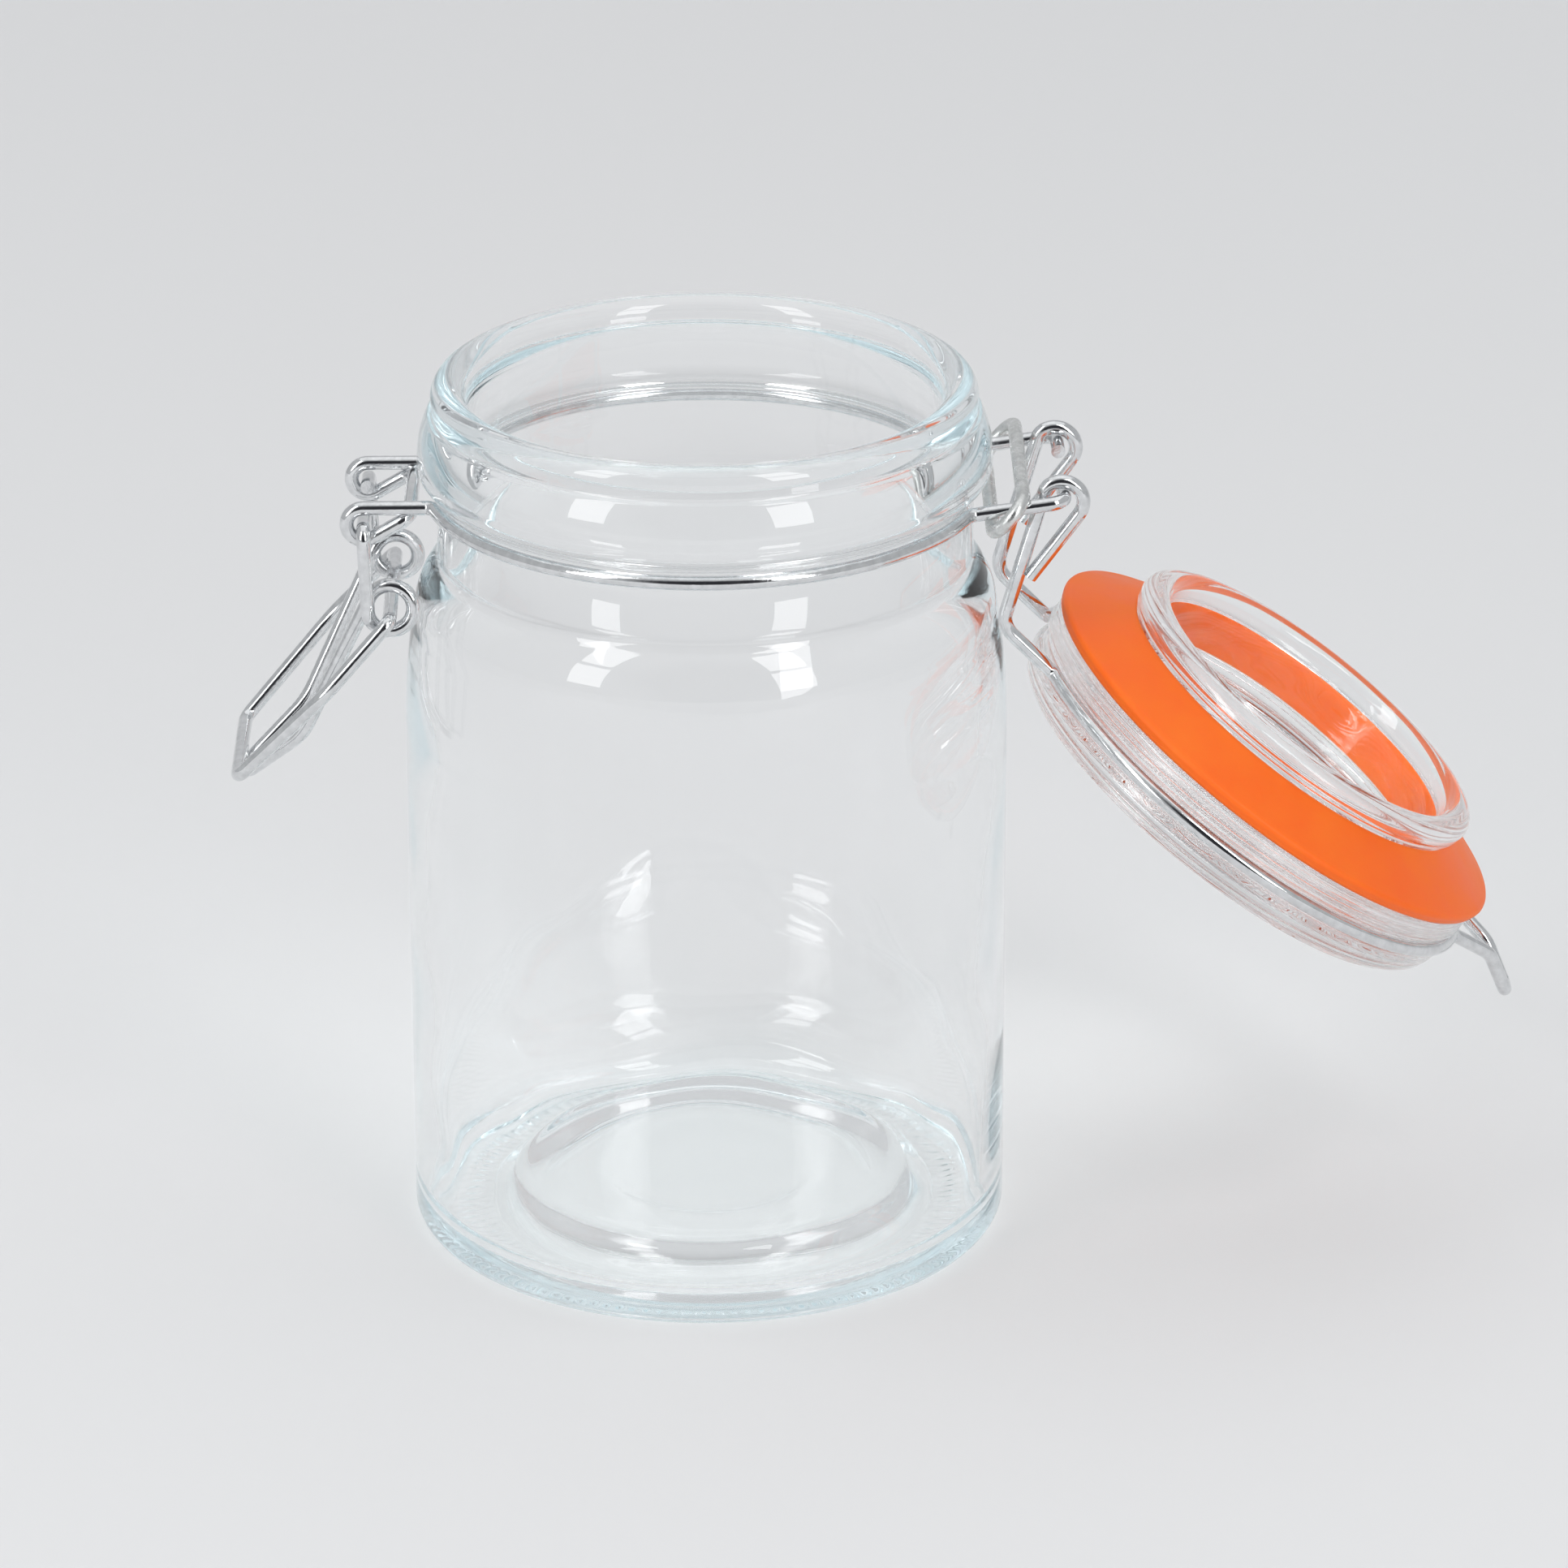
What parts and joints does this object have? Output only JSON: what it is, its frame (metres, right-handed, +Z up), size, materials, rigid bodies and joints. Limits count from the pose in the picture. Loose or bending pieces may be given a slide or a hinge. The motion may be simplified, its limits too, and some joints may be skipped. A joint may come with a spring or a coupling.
{
  "type": "bail clamp jar",
  "caption": "Clip-top glass storage jar with a glass lid hanging open on a wire hinge, a rubber sealing ring, and a wire lever and loop that pull the lid down airtight.",
  "frame": {"origin": "centre of the jar's standing ring, on the plane it stands on", "axes": "+Z up along the jar's axis, +X towards the lid hinge, every joint axis parallel to Y"},
  "size_m": [0.1824, 0.085, 0.1266],
  "materials": {
    "jar_glass": "clear, smooth",
    "lid_glass": "clear, smooth",
    "orange_rubber": "soft satin",
    "zinc_wire": "bright zinc plate",
    "galvanised_wire": "dull galvanised"
  },
  "bodies": {
    "jar": {"glass_jar": "jar_glass", "neck_wire": "zinc_wire", "neck_wire_tie_ring": "galvanised_wire"},
    "lid": {"glass_lid": "lid_glass", "sealing_gasket": "orange_rubber", "lid_wire": "zinc_wire"},
    "lever": {"latch_lever": "zinc_wire"},
    "loop": {"latch_loop": "zinc_wire"}
  },
  "joints": [
    {"name": "lid_hinge", "type": "hinge", "parent": "jar", "child": "lid", "pos_m": [0.0497, 0, 0.1127], "axis": [0, 1, 0], "range_deg": [-216, 0]},
    {"name": "lever_pivot", "type": "hinge", "parent": "jar", "child": "lever", "pos_m": [-0.04745, 0, 0.10818], "axis": [0, 1, 0], "range_deg": [0, 165]},
    {"name": "loop_pivot", "type": "hinge", "parent": "lever", "child": "loop", "pos_m": [-0.044, 0, 0.09567], "axis": [0, 1, 0], "range_deg": [0, 140]}
  ]
}
